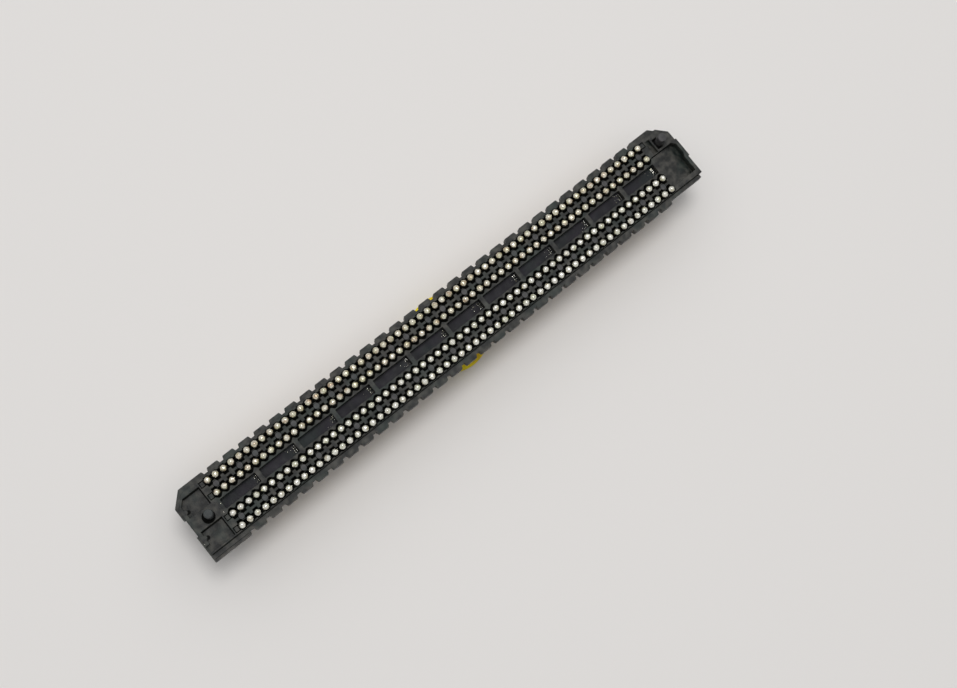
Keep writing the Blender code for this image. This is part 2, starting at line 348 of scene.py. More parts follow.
def rounded(outline: Outline, radius: float) -> Outline:
    """Rounds every corner of an outline with one middle point.

    Args:
        outline: Corners in order.
        radius: How far from its corner a rounding starts, up to a share of the shorter side.

    Returns:
        The rounded outline, with three points for each corner.
    """
    points = []
    for i, corner in enumerate(outline):
        here = Vector(corner)
        ends = [Vector(outline[i - 1]), Vector(outline[(i + 1) % len(outline)])]
        reach = min(radius, *(ROUNDING_SHARE * (end - here).length for end in ends))
        first, last = [here + reach * (end - here).normalized() for end in ends]
        middle = ((first + last) / 2 + here) / 2
        points += [tuple(first), tuple(middle), tuple(last)]
    return points


def rectangle(x0: float, x1: float, y0: float, y1: float) -> Outline:
    """Corners of a rectangle, counter-clockwise from its lowest one."""
    return [(x0, y0), (x1, y0), (x1, y1), (x0, y1)]


def circle(x: float, y: float, radius: float, segments: int) -> Outline:
    """Points of a circle, counter-clockwise from its +X side."""
    turns = [math.tau * number / segments for number in range(segments)]
    return [(x + radius * math.cos(turn), y + radius * math.sin(turn)) for turn in turns]


def mirrored(middle: float, half: Outline) -> Outline:
    """Points on both sides of a middle.

    Args:
        middle: Place of the middle along the points' first axis.
        half: Points of one side in order, the first of each pair counted from the middle.

    Returns:
        The other side's points in reverse, and then those of this side.
    """
    other = [(middle - reach, height) for reach, height in reversed(half)]
    return other + [(middle + reach, height) for reach, height in half]


def ring(bm: Mesh, places: list[Place]) -> list[Edge]:
    """Adds a closed loop of edges.

    Args:
        bm: The mesh that gets the loop.
        places: Its corners in order.

    Returns:
        The edges of the loop.
    """
    verts = [bm.verts.new(place) for place in places]
    return [bm.edges.new(pair) for pair in zip(verts, verts[1:] + verts[:1])]


def of_type(geometry: list, kind: type) -> list:
    """The elements of one kind, such as BMVert, in an operator's result."""
    return [item for item in geometry if isinstance(item, kind)]


def plate(
    bm: Mesh,
    outline: Outline,
    low: float,
    high: float,
    holes: list[Outline] | None = None,
    chamfer: float = 0.0,
) -> list[Vert]:
    """Adds a flat plate with holes that go right through it.

    Args:
        bm: The mesh that gets the plate.
        outline: Outer outline.
        low: Height of the lower face.
        high: Height of the upper face.
        holes: Outlines of the holes, none of which touches another.
        chamfer: Width of the chamfer around the upper face and its holes.

    Returns:
        The vertices of the upper face.
    """
    edges = []
    for loop in [outline, *(holes or [])]:
        edges += ring(bm, [(x, y, low) for x, y in loop])
    filled = bmesh.ops.triangle_fill(bm, edges=edges, use_beauty=True, normal=(0.0, 0.0, 1.0))
    faces = of_type(filled["geom"], Face)
    lifted = bmesh.ops.extrude_face_region(bm, geom=faces)["geom"]
    verts = of_type(lifted, Vert)
    bmesh.ops.translate(bm, verts=verts, vec=(0.0, 0.0, high - chamfer - low))
    if chamfer:
        top = of_type(lifted, Face)
        bmesh.ops.inset_region(
            bm, faces=top, thickness=chamfer, depth=chamfer, use_boundary=True, use_even_offset=True
        )
        verts = list({vert for face in top for vert in face.verts})
    return verts


def bevel_edges(bm: Mesh, edges: list, width: float, segments: int = 1) -> None:
    """Bevels edges with a round profile.

    Args:
        bm: The mesh.
        edges: Edges to bevel.
        width: Width of the bevel.
        segments: Number of its segments.
    """
    bmesh.ops.bevel(
        bm,
        geom=edges,
        offset=width,
        offset_type="OFFSET",
        segments=segments,
        profile=0.5,
        affect="EDGES",
        clamp_overlap=True,
        material=-1,
    )


def pull(bm: Mesh, places: list[Place], way: Place) -> list:
    """Adds a bar: a flat face that is pulled out along a way.

    Args:
        bm: The mesh that gets the bar.
        places: Corners of the face in order.
        way: How far and which way it is pulled.

    Returns:
        What the pull made, with the face at the bar's end.
    """
    face = bmesh.ops.contextual_create(bm, geom=ring(bm, places))["faces"]
    pulled = bmesh.ops.extrude_face_region(bm, geom=face)["geom"]
    bmesh.ops.translate(bm, verts=of_type(pulled, Vert), vec=way)
    return pulled


def upright_plate(bm: Mesh, outline: Outline, y0: float, y1: float, bevel: float = 0.0) -> None:
    """Adds a plate that stands in the XZ plane, with a bevel around its face at y1.

    Args:
        bm: The mesh that gets the plate.
        outline: Points of the plate as (x, z).
        y0: Place of its back.
        y1: Place of its front.
        bevel: Width of the bevel around the front.
    """
    pulled = pull(bm, [(x, y0, z) for x, z in outline], (0.0, y1 - y0, 0.0))
    if bevel:
        front = of_type(pulled, Face)[0]
        bevel_edges(bm, list(front.edges), bevel)


def cylinder(bm: Mesh, middle: Place, radius: float, height: float, segments: int) -> list:
    """Adds an upright cylinder.

    Args:
        bm: The mesh that gets it.
        middle: Place of its middle.
        radius: Its radius.
        height: Its height.
        segments: Number of its sides.

    Returns:
        Its vertices.
    """
    made = bmesh.ops.create_cone(
        bm,
        cap_ends=True,
        segments=segments,
        radius1=radius,
        radius2=radius,
        depth=height,
        matrix=Matrix.Translation(middle),
    )
    return made["verts"]


def rims(verts: list[Vert], above: float) -> list[Edge]:
    """Finds the level edges of an upright cylinder.

    Args:
        verts: Its vertices.
        above: Height that the edges lie above.

    Returns:
        The edges.
    """
    found = []
    for edge in {edge for vert in verts for edge in vert.link_edges}:
        low, high = sorted(vert.co.z for vert in edge.verts)
        if low > above and high - low < LEVEL:
            found.append(edge)
    return found


def make_piece(
    name: str,
    bm: Mesh,
    finish: Finish,
    replaced: list[str] | None = None,
    smooth_below: float = EDGE_ANGLE,
) -> None:
    """Turns a mesh into a piece of the connector, which rides on its one body.

    Args:
        name: Name of the piece.
        bm: Its mesh, which is used up.
        finish: Its finish.
        replaced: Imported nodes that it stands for.
        smooth_below: Angle in degrees below which two faces shade as one surface.
    """
    bmesh.ops.recalc_face_normals(bm, faces=bm.faces)
    mesh = bpy.data.meshes.new(name)
    bm.to_mesh(mesh)
    bm.free()
    mesh.shade_smooth()
    mesh.set_sharp_from_angle(angle=math.radians(smooth_below))
    mesh.materials.append(finish.material())
    made = add_object(name, mesh)
    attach(made, BODY)
    if replaced:
        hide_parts(*replaced)
    LOG.info("%s: %d faces", name, len(mesh.polygons))


@dataclass(frozen=True)
class Layout:
    """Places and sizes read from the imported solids, which every piece is worked out from."""

    pitch: float
    positions: int
    row_y: dict[Row, float]
    blade_width: float
    blade_thickness: float
    blade_tip: float
    blade_top: float
    ball_radius: float
    ball_centre: float
    half_length: float
    lower_edge: float
    upper_edge: float
    post_top: float
    mating_edge: float
    pad_low: Vector
    pad_high: Vector

    @classmethod
    def read(cls) -> "Layout":
        """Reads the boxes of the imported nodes.

        Returns:
            The layout.
        """
        low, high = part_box("contact_a01")
        second_low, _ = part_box("contact_a02")
        ball_low, ball_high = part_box("solder_ball_a01")
        housing_low, housing_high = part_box("housing")
        pad_low, pad_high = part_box("pickup_pad")
        pitch = second_low[0] - low[0]
        first_x = (low[0] + high[0]) / 2
        rows = {}
        for row in Row:
            row_low, row_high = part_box(f"contact_{row.value}01")
            rows[row] = (row_low[1] + row_high[1]) / 2
        return cls(
            pitch=pitch,
            positions=round(-2 * first_x / pitch) + 1,
            row_y=rows,
            blade_width=high[0] - low[0],
            blade_thickness=high[1] - low[1],
            blade_tip=low[2],
            blade_top=high[2],
            ball_radius=(ball_high[2] - ball_low[2]) / 2,
            ball_centre=(ball_high[2] + ball_low[2]) / 2,
            half_length=housing_high[0],
            lower_edge=housing_low[1],
            upper_edge=housing_high[1],
            post_top=housing_high[2],
            mating_edge=pad_high[2],
            pad_low=Vector(pad_low),
            pad_high=Vector(pad_high),
        )

    @property
    def field_half(self) -> float:
        """Half the length of the field of contacts, with half a pitch at each end."""
        return self.positions * self.pitch / 2

    def position_x(self, index: int) -> float:
        """Place along X of a position, counted from 0 at the -X end."""
        return (index - (self.positions - 1) / 2) * self.pitch


@dataclass
class Housing:
    """The notched flange and the raised body on it, with its grooves, windows and discs."""

    layout: Layout
    tongue_height: float = 2.20 * MM
    flange_thickness: float = 0.70 * MM
    body_rise: float = 0.12 * MM
    pocket_depth: float = 0.36 * MM
    window_depth: float = 0.62 * MM
    groove_depth: float = 0.74 * MM
    corner_cut: float = 0.92 * MM
    stepped_cut: float = 0.84 * MM
    corner_ledge: float = 0.16 * MM
    recess_width: float = 1.36 * MM
    key_upper: float = 0.83 * MM
    key_lower: float = 0.69 * MM
    key_depth: float = 0.12 * MM
    notch_depth: float = 0.24 * MM
    notch_mouth: float = 0.41 * MM
    notch_floor: float = 0.28 * MM
    notch_rounding: float = 0.05 * MM
    upper_notch_shift: float = -0.11 * MM
    end_relief: float = 0.28 * MM
    upper_rim: float = 0.35 * MM
    lower_rim: float = 0.53 * MM
    body_setback: float = 0.03 * MM
    body_cut: float = 0.80 * MM
    bank: int = 5
    window_width: float = 0.74 * MM
    window_rib: float = 0.33 * MM
    window_rounding: float = 0.06 * MM
    window_seen_depth: float = 0.48 * MM
    slot_gap: float = 0.07 * MM
    slot_width: float = 0.16 * MM
    slot_length: float = 0.40 * MM
    groove_half: float = 0.21 * MM
    groove_long_end: float = 0.62 * MM
    groove_short_end: float = 0.30 * MM
    end_block: Span = (0.30 * MM, 0.585 * MM)
    end_block_half: float = 0.165 * MM
    seam_width: float = 0.06 * MM
    seam_gap: float = 0.01 * MM
    tab_line: float = 0.16 * MM
    liner: float = 0.02 * MM
    bay_half_width: float = 0.205 * MM
    bay_half_height: float = 0.40 * MM
    outer_bay: float = 0.29 * MM
    tooth_flat: float = 0.08 * MM
    tooth_slope: float = 0.03 * MM
    disc_radius: float = 0.23 * MM
    # Width of the near-black ring round each disc: painted shade of its edge.
    disc_shade_ring: float = 0.03 * MM
    disc_rise: float = 0.02 * MM
    disc_steps: tuple[int, int] = (1, 4)
    disc_segments: int = 18
    edge_break: float = 0.02 * MM

    @property
    def flange_face(self) -> float:
        """Height of the flange's side that faces the tongues."""
        return self.layout.mating_edge + self.tongue_height

    @property
    def tab_face(self) -> float:
        """Height of the tabs between the notches."""
        return self.flange_face + self.flange_thickness

    @property
    def body_face(self) -> float:
        """Height of the raised body's face."""
        return self.tab_face + self.body_rise

    @property
    def seen_floor(self) -> float:
        """Height of the windows' floors as they are seen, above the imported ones."""
        return self.body_face - self.window_seen_depth

    @property
    def plain_end(self) -> float:
        """Place along X of the flange's flat ends."""
        return self.layout.half_length - self.key_depth

    @property
    def body_upper(self) -> float:
        """The raised body's edge on the +Y side."""
        return self.layout.upper_edge - self.upper_rim

    @property
    def body_lower(self) -> float:
        """The raised body's edge on the -Y side."""
        return self.layout.lower_edge + self.lower_rim

    @property
    def body_end(self) -> float:
        """Place along X of the raised body's ends."""
        return self.plain_end - self.body_setback

    def _side(self, edge: float, shift: float) -> Outline:
        """Notches of one long side, from -X to +X, one to every two positions.

        Args:
            edge: Place along Y of the side.
            shift: How far the notches lie from the middle between two positions.

        Returns:
            The points.
        """
        inward = -math.copysign(1.0, edge)
        floor = edge + inward * self.notch_depth
        bend = edge + inward * self.notch_rounding
        wide, narrow = self.notch_mouth / 2, self.notch_floor / 2
        half = [(narrow, floor), (wide, bend), (wide + self.notch_rounding, edge)]
        points = []
        for index in range(0, self.layout.positions, 2):
            x = self.layout.position_x(index) + self.layout.pitch / 2 + shift
            points += mirrored(x, half)
        return points

    def flange_outline(self) -> Outline:
        """Outline of the flange, counter-clockwise seen from the ball side.

        Returns:
            The outline.
        """
        length, end = self.layout.half_length, self.plain_end
        lower, upper = self.layout.lower_edge, self.layout.upper_edge
        relief_y = lower + self.notch_depth
        step_x, step_y = end - self.stepped_cut, upper - self.stepped_cut
        ledge_y = upper - 2 * self.corner_ledge
        recess = self.recess_width / 2
        return [
            (-length, lower),
            *self._side(lower, 0.0)[:-2],
            (end - self.end_relief, relief_y),
            (end - self.end_relief, relief_y + self.end_relief),
            (end, relief_y + self.end_relief),
            (end, -self.key_lower),
            (length, -self.key_lower),
            (length, self.key_upper),
            (end, self.key_upper),
            (end, step_y - self.corner_ledge),
            (step_x + self.corner_ledge, ledge_y),
            (step_x, ledge_y),
            (step_x - 2 * self.corner_ledge, upper),
            *reversed(self._side(upper, self.upper_notch_shift)),
            (-length + self.corner_cut, upper),
            (-length, upper - self.corner_cut),
            (-length, recess),
            (-end, recess),
            (-end, -recess),
            (-length, -recess),
        ]

    def body_outline(self, inlet: Outline) -> Outline:
        """Outline of the raised body.

        Args:
            inlet: The pocket that is open to the -X end, as an outline of its own.

        Returns:
            The outline, which goes round the inlet.
        """
        end, cut = self.body_end, self.body_cut
        bay = [(max(x, -end), y) for x, y in reversed(inlet)]
        return [
            (-end, self.body_lower),
            (end, self.body_lower),
            (end, self.body_upper - cut),
            (end - cut, self.body_upper),
            (-end + cut, self.body_upper),
            (-end, self.body_upper - cut),
            *bay[1:],
            bay[0],
        ]

    def _groove_side(self, row_y: float, toward: int, reach: float, pointed: bool) -> Outline:
        """One side of a row's groove, with a bay at each ball and a tooth between two.

        Args:
            row_y: Place of the row.
            toward: 1 for the groove's +Y side and -1 for its -Y side.
            reach: How far the bays reach from the row.
            pointed: Whether the teeth are pointed, as beside the windows, or square blocks.

        Returns:
            The points, from -X to +X.
        """
        foot = self.tooth_flat if pointed else self.bay_half_width - self.tooth_slope
        tip = self.layout.pitch / 2 - self.tooth_slope if pointed else self.bay_half_width
        half = [(foot, row_y + toward * reach), (tip, row_y + toward * self.groove_half)]
        points = []
        for index in range(self.layout.positions):
            points += mirrored(self.layout.position_x(index), half)
        return points

    def grooves(self) -> list[Outline]:
        """Outlines of the four grooves that the balls lie in, one to a row.

        Returns:
            The outlines.
        """
        outlines = []
        for row in Row:
            y = self.layout.row_y[row]
            inward = -1 if y > 0 else 1
            inner = self._groove_side(y, inward, self.bay_half_height, row.is_inner)
            outward = self.bay_half_height if row.is_inner else self.outer_bay
            outer = self._groove_side(y, -inward, outward, False)
            last = self.layout.position_x(self.layout.positions - 1)
            end = last + (self.groove_long_end if row is Row.A else self.groove_short_end)
            start = -last - self.groove_long_end
            near, far = y + inward * self.groove_half, y - inward * self.groove_half
            outlines.append(
                [*inner, (end, near), (end, far), *reversed(outer), (start, far), (start, near)]
            )
        return outlines

    def _end_blocks(self) -> list[Outline]:
        """Outlines of the small blocks in the grooves' long ends.

        Returns:
            The outlines.
        """
        last = self.layout.position_x(self.layout.positions - 1)
        near, far = (last + reach for reach in self.end_block)
        half = self.end_block_half
        places = [(-far, -near, self.layout.row_y[row]) for row in Row]
        places.append((near, far, self.layout.row_y[Row.A]))
        return [rectangle(x0, x1, y - half, y + half) for x0, x1, y in places]

    def _seams(self) -> list[Outline]:
        """Outlines of the narrow seams on the -Y side, beside the body and along the end tab.

        Returns:
            The outlines.
        """
        high = self.body_lower - self.seam_gap
        right = self.plain_end - self.end_relief - self.seam_width / 2
        edge = self.layout.lower_edge + self.tab_line
        corner = self.layout.position_x(0)
        lines = (
            (-self.body_end, right, high - self.seam_width, high),
            (-self.body_end, corner, edge, edge + self.seam_width / 2),
        )
        return [rectangle(*line) for line in lines]

    def window_slot(self, window: Outline) -> Outline:
        """Outline of the slot in a window's floor, near its +X end.

        Args:
            window: The window's outline.

        Returns:
            The outline.
        """
        x1, half = max(x for x, _ in window) - self.slot_gap, self.slot_length / 2
        return rectangle(x1 - self.slot_width, x1, -half, half)

    def windows(self) -> list[Outline]:
        """Outlines of the windows down the middle, one to a bank of contacts.

        Returns:
            The outlines, from -X to +X.
        """
        outlines = []
        half, rib = self.window_width / 2, self.window_rib / 2
        length = self.bank * self.layout.pitch
        for number in range(self.layout.positions // self.bank):
            x0 = number * length - self.layout.field_half + rib
            corners = rectangle(x0, x0 + length - 2 * rib, -half, half)
            outlines.append(rounded(corners, self.window_rounding))
        return outlines

    def build(self, pockets: "EndPockets") -> None:
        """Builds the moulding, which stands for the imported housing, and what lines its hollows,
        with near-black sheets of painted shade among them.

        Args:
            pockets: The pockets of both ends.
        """
        bm = bmesh.new()
        groove_floor = self.body_face - self.groove_depth
        window_floor = self.body_face - self.window_depth
        pocket_floor = self.body_face - self.pocket_depth
        flange, grooves, windows = self.flange_outline(), self.grooves(), self.windows()
        deep = grooves + windows + pockets.deep_outlines()
        openings = deep + pockets.shallow_outlines()
        inlet = pockets.long_pocket()
        plate(bm, flange, self.flange_face, groove_floor)
        plate(bm, flange, groove_floor, window_floor, grooves)
        plate(bm, flange, window_floor, pocket_floor, deep)
        plate(bm, flange, pocket_floor, self.tab_face, [*openings, inlet, *self._seams()])
        body = self.body_outline(inlet)
        plate(bm, body, self.tab_face, self.body_face, openings, self.edge_break)
        for block in self._end_blocks():
            plate(bm, block, groove_floor, self.body_face, chamfer=self.edge_break)
        make_piece("housing_moulding", bm, BLACK_PLASTIC, ["housing"])
        bm = bmesh.new()
        # Near-black sheets on the groove floors: painted shade of the grooves.
        for groove in grooves:
            plate(bm, groove, groove_floor, groove_floor + self.liner)
        # Near-black sheets where the pockets lie in shade, post pockets included: painted shade.
        for shade_mark in pockets.painted_shade_outlines():
            plate(bm, shade_mark, pocket_floor, pocket_floor + self.liner)
        # A near-black ring round each disc: painted shade of its edge.
        self._add_discs(bm, self.disc_radius, self.disc_rise / 2)
        make_piece("painted_shade_floors", bm, PAINTED_SHADE_PLASTIC)
        bm = bmesh.new()
        self._add_discs(bm, self.disc_radius - self.disc_shade_ring, self.disc_rise)
        make_piece("strip_discs", bm, PALE_PLASTIC)
        bm = bmesh.new()
        for window in windows:
            plate(bm, window, window_floor, self.seen_floor, [self.window_slot(window)])
        make_piece("window_floors", bm, WINDOW_PLASTIC)
        pockets.build_floors(window_floor, pocket_floor)

    def _add_discs(self, bm: Mesh, radius: float, rise: float) -> None:
        """Adds the round pads on the strips between an outer row and an inner one.

        Args:
            bm: The mesh that gets them.
            radius: Their radius.
            rise: How far they stand above the body's face.
        """
        rows = self.layout.row_y
        middle = (rows[Row.A] + rows[Row.B]) / 2
        for number in range(self.layout.positions // self.bank):
            for step in self.disc_steps:
                x = (number * self.bank + step) * self.layout.pitch - self.layout.field_half
                for y in (middle, -middle):
                    cylinder(bm, (x, y, self.body_face), radius, 2 * rise, self.disc_segments)


@dataclass
class EndPockets:
    """The pockets of both ends, with the sloped floors of those at the +X end."""

    housing: Housing
    wall: float = 0.42 * MM
    gap: float = 0.40 * MM
    post_rib: float = 1.14 * MM
    corner_side: float = 0.33 * MM
    corner_cut: float = 0.37 * MM
    long_side: float = 0.12 * MM
    long_step: float = 0.52 * MM
    long_rim: float = 0.10 * MM
    boss_radius: float = 0.15 * MM
    boss_steps: int = 8
    # Size and place of the painted shadows beside the bosses.
    boss_shadow_radius: float = 0.15 * MM
    boss_shadow_shift: float = 0.05 * MM
    boss_shadow_segments: int = 14
    # Width of the painted shadow strips at the walls' feet.
    wall_shadow_width: float = 0.085 * MM
    ramp_gap: float = 0.05 * MM
    ramp_rim: float = 0.30 * MM
    bay_depth: float = 0.13 * MM
    bay_lower: float = 0.30 * MM
    bay_cut: float = 0.28 * MM
    ramp_upper_y: float = 0.78 * MM
    ramp_side: float = 0.38 * MM
    ramp_depth: float = 0.20 * MM
    steep_depth: float = 0.60 * MM
    small_gap: float = 0.40 * MM
    small_length: float = 0.38 * MM
    small_side: float = 0.28 * MM
    small_wall: float = 0.08 * MM
    small_depth: float = 0.24 * MM
    post_gap: float = 1.32 * MM
    post_y: float = 1.35 * MM
    post_reach: float = 0.40 * MM
    centre_gap: float = 0.95 * MM
    well_radius: float = 0.44 * MM
    well_shift: Point = (-0.11 * MM, -0.08 * MM)
    well_segments: int = 28
    ramp_seam: float = 0.07 * MM
    ramp_slices: int = 14
    ramp_power: int = 4
    joint: float = 0.004 * MM

    @property
    def ramp_start(self) -> float:
        """Where the large ramp starts along X."""
        return self.housing.layout.field_half + self.ramp_gap

    @property
    def ramp_end(self) -> float:
        """The large ramp's end wall, without its bay."""
        return self.housing.plain_end - self.ramp_rim

    @property
    def small_start(self) -> float:
        """Where the small ramp starts along X."""
        return self.housing.layout.field_half + self.small_gap

    @property
    def inner_wall(self) -> float:
        """Place along X of the -X pockets' walls beside the contacts."""
        return -self.housing.layout.field_half - self.gap

    @property
    def end_wall(self) -> float:
        """Place along X of the -X pockets' walls at the end."""
        return -self.housing.layout.half_length + self.wall

    def _boss(self, y: float) -> Outline:
        """Points of the half-round boss on the end wall, from its +Y end to its -Y end.

        Args:
            y: Place of its middle.

        Returns:
            The points.
        """
        steps, radius = self.boss_steps, self.boss_radius
        turns = [math.pi * (0.5 - number / steps) for number in range(steps + 1)]
        return [(self.end_wall + radius * math.cos(t), y + radius * math.sin(t)) for t in turns]

    def _corner_pocket(self) -> Outline:
        """The pocket beside the cut corner of the -X end.

        Returns:
            Its outline.
        """
        inner, wall = self.inner_wall, self.end_wall
        side, rib = self.housing.body_upper - self.corner_side, self.post_rib / 2
        cut = [(wall + self.corner_cut, side), (wall, side - self.corner_cut)]
        boss = self._boss(self._boss_places()[0])
        return [(inner, rib), (inner, side), *cut, *boss, (wall, rib)]

    def long_pocket(self) -> Outline:
        """The pocket beside the square corner of the -X end, which runs out to that end.

        Returns:
            Its outline.
        """
        inner, wall, rib = self.inner_wall, self.end_wall, self.post_rib / 2
        side = self.housing.body_lower + self.long_side
        step = side + self.long_step
        rim = -self.housing.layout.half_length + self.long_rim
        boss = self._boss(self._boss_places()[1])
        run_out = [(wall, step), (rim, step), (rim, side)]
        return [(inner, side), (inner, -rib), (wall, -rib), *boss, *run_out]

    def _large_ramp(self, lead: float = 0.0, seam: float = 0.0) -> Outline:
        """The sloped pocket of the +X end, with a bay in the key.

        Args:
            lead: How far the outline starts before the pocket.
            seam: How far the outline's +Y side lies inside the pocket.

        Returns:
            The outline.
        """
        start, top = self.ramp_start - lead, self.ramp_upper_y - seam
        side, end = self.housing.body_lower + self.ramp_side, self.ramp_end
        bay = end + self.bay_depth
        return [
            (start, side),
            (end, side),
            (end, -self.bay_lower - self.bay_cut),
            (bay, -self.bay_lower),
            (bay, top - self.bay_cut),
            (bay - self.bay_cut, top),
            (start, top),
        ]

    def _small_ramp(self) -> Outline:
        """The small sloped pocket beside the corner post.

        Returns:
            Its outline.
        """
        start, low = self.small_start, self.ramp_upper_y + self.small_wall
        side = self.housing.body_upper - self.small_side
        return rectangle(start, start + self.small_length, low, side)

    def _post_relief(self) -> Outline:
        """The pocket beside the corner post, on the side of the contacts."""
        x, y = self.housing.layout.field_half + self.post_gap, self.post_y
        return rectangle(x - self.post_reach, x, y - self.post_reach, y + self.post_reach)

    def _boss_shadows(self) -> list[Outline]:
        """Near-black discs beside the two bosses of the -X end: painted shadows of the bosses.

        Returns:
            Their outlines.
        """
        x, radius = self.end_wall + self.boss_radius, self.boss_shadow_radius
        places = [y - self.boss_shadow_shift for y in self._boss_places()]
        return [circle(x, y, radius, self.boss_shadow_segments) for y in places]

    def _wall_shadows(self) -> list[Outline]:
        """Near-black strips at the foot of the walls of the -X end's pockets: painted shadows of
        the walls.

        Returns:
            Their outlines.
        """
        inner, wall, width = self.inner_wall, self.end_wall, self.wall_shadow_width
        side, rib = self.housing.body_upper - self.corner_side, self.post_rib / 2
        low = self.housing.body_lower + self.long_side
        spans = (
            (wall + self.corner_cut, inner, side - width, side),
            (inner - width, inner, rib, side - width),
            (wall, inner, -rib - width, -rib),
            (inner - width, inner, low, -rib - width),
        )
        return [rectangle(*span) for span in spans]

    def _boss_places(self) -> tuple[float, float]:
        """Places along Y of the two bosses.

        Returns:
            The one beside the cut corner, and the other one.
        """
        house, rib = self.housing, self.post_rib / 2
        corner = house.body_upper - self.corner_side - self.corner_cut
        step = house.body_lower + self.long_side + self.long_step
        return (rib + corner) / 2, (step - rib) / 2

    def _post_well(self) -> Outline:
        """The round pocket around the post of the -X end, wider on the side away from the field."""
        x = -self.housing.layout.field_half - self.centre_gap + self.well_shift[0]
        return circle(x, self.well_shift[1], self.well_radius, self.well_segments)

    def _post_pockets(self) -> list[Outline]:
        """The pockets beside the posts, which are too narrow for the light."""
        return [self._post_relief(), self._post_well()]

    def deep_outlines(self) -> list[Outline]:
        """Pockets that go down to the level of the windows' floor."""
        return [self._large_ramp()]

    def shallow_outlines(self) -> list[Outline]:
        """Pockets that are less deep than the windows, and closed on all sides."""
        return [self._corner_pocket(), self._small_ramp(), *self._post_pockets()]

    def painted_shade_outlines(self) -> list[Outline]:
        """Outlines of near-black sheets, painted shade, on the parts of the shallow pockets that
        the light doesn't reach.
        """
        return self._post_pockets() + self._boss_shadows() + self._wall_shadows()

    def build_floors(self, deep_floor: float, shallow_floor: float) -> None:
        """Builds the sloped floors of both ramps as one piece.

        Args:
            deep_floor: Level below the large one.
            shallow_floor: Level below the small one.
        """
        face, lead = self.housing.body_face - self.joint, self.housing.edge_break
        length = self.ramp_end - self.ramp_start
        bm = bmesh.new()
        plate(bm, self._large_ramp(lead, self.ramp_seam), deep_floor, face)
        for number in range(1, self.ramp_slices):
            everything = [*bm.verts, *bm.edges, *bm.faces]
            place = (self.ramp_start + length * number / self.ramp_slices, 0.0, 0.0)
            bmesh.ops.bisect_plane(bm, geom=everything, plane_co=place, plane_no=(1.0, 0.0, 0.0))
        for vert in bm.verts:
            if vert.co.z > face - self.joint:
                share = min(max((vert.co.x - self.ramp_start) / length, 0.0), 1.0)
                curve = (self.steep_depth - self.ramp_depth) * share**self.ramp_power
                vert.co.z = face - self.ramp_depth * share - curve
        for vert in plate(bm, self._small_ramp(), shallow_floor, face):
            share = (vert.co.x - self.small_start) / self.small_length
            vert.co.z = face - self.small_depth * share
        make_piece("ramp_floors", bm, BLACK_PLASTIC)


@dataclass
class Posts:
    """The two locating posts, one in the middle of the -X end and one near the +X corner."""

    housing: Housing
    radius: float = 0.31 * MM
    chamfer: float = 0.06 * MM
    chamfer_segments: int = 3
    root: float = 0.36 * MM
    segments: int = 32

    def build(self, pockets: EndPockets) -> None:
        """Builds both posts as one piece.

        Args:
            pockets: The pockets, two of which lie beside the posts.
        """
        bm = bmesh.new()
        half = self.housing.layout.field_half
        top = self.housing.layout.post_top
        low = self.housing.body_face - self.root
        places = ((-half - pockets.centre_gap, 0.0), (half + pockets.post_gap, pockets.post_y))
        for x, y in places:
            middle = (x, y, (top + low) / 2)
            verts = cylinder(bm, middle, self.radius, top - low, self.segments)
            bevel_edges(bm, rims(verts, top - self.chamfer), self.chamfer, self.chamfer_segments)
        # The paler plastic on the posts is painted light for their lit tops.
        make_piece("locating_posts", bm, PALE_PLASTIC)


@dataclass
class Tongues:
    """The two tongues, with ribs between the blades and a lip below their tips."""

    housing: Housing
    gap_to_blade: float = 0.005 * MM
    end_margin: float = 0.95 * MM
    lip: float = 0.085 * MM
    lip_height: float = 0.10 * MM
    edge_bevel: float = 0.07 * MM
    rib_half_width: float = 0.055 * MM
    rib_foot: float = 0.17 * MM
    rib_foot_height: float = 0.26 * MM
    slot_gap: float = 0.04 * MM

    def build(self) -> None:
        """Builds both tongues as one piece."""
        bm = bmesh.new()
        layout = self.housing.layout
        half = layout.blade_thickness / 2 + self.gap_to_blade
        inner = layout.row_y[Row.B] + half
        outer = layout.row_y[Row.A] - half
        end = layout.field_half + self.end_margin
        for side in (1, -1):
            self._add_bar(bm, side, inner, outer, end)
            for face, outward in ((inner, -1), (outer, 1)):
                y0 = side * face
                self._add_ribs(bm, y0, y0 + side * outward * self.lip, end)
        make_piece("tongues", bm, BLACK_PLASTIC)

    def _add_bar(self, bm: Mesh, side: int, inner: float, outer: float, end: float) -> None:
        """Adds the bar of one tongue with the lip along its edge.

        Args:
            bm: The tongues' mesh.
            side: 1 for the +Y tongue and -1 for the -Y tongue.
            inner: Distance of its inner face from the middle.
            outer: Distance of its outer face from the middle.
            end: Half its length.
        """
        low, top = self.housing.layout.mating_edge, self.housing.flange_face
        lip_top = low + self.lip_height
        narrow, bevel = (outer - inner) / 2, self.edge_bevel
        wide = narrow + self.lip
        half = [
            (wide - bevel, low),
            (wide, low + bevel),
            (wide, lip_top),
            (narrow, lip_top),
            (narrow, top),
        ]
        section = mirrored((inner + outer) / 2, half)
        pull(bm, [(-end, side * y, z) for y, z in section], (2 * end, 0.0, 0.0))

    def _add_ribs(self, bm: Mesh, y0: float, y1: float, end: float) -> None:
        """Adds the ribs on one face of a tongue, and the plain fields beyond the last blades.

        Args:
            bm: The tongues' mesh.
            y0: Place of the tongue's face.
            y1: Place of the ribs' face.
            end: Half the tongue's length.
        """
        layout = self.housing.layout
        low = layout.mating_edge + self.lip_height
        top = self.housing.flange_face
        thin, foot, rise = self.rib_half_width, self.rib_foot, self.rib_foot_height
        half = [(foot, low), (thin, low + rise), (thin, top)]
        for index in range(1, layout.positions):
            x = layout.position_x(index) - layout.pitch / 2
            upright_plate(bm, mirrored(x, half), y0, y1)
        start = layout.position_x(layout.positions - 1) + layout.blade_width / 2 + self.slot_gap
        for x0, x1 in ((start, end), (-end, -start)):
            upright_plate(bm, rectangle(x0, x1, low, top), y0, y1)


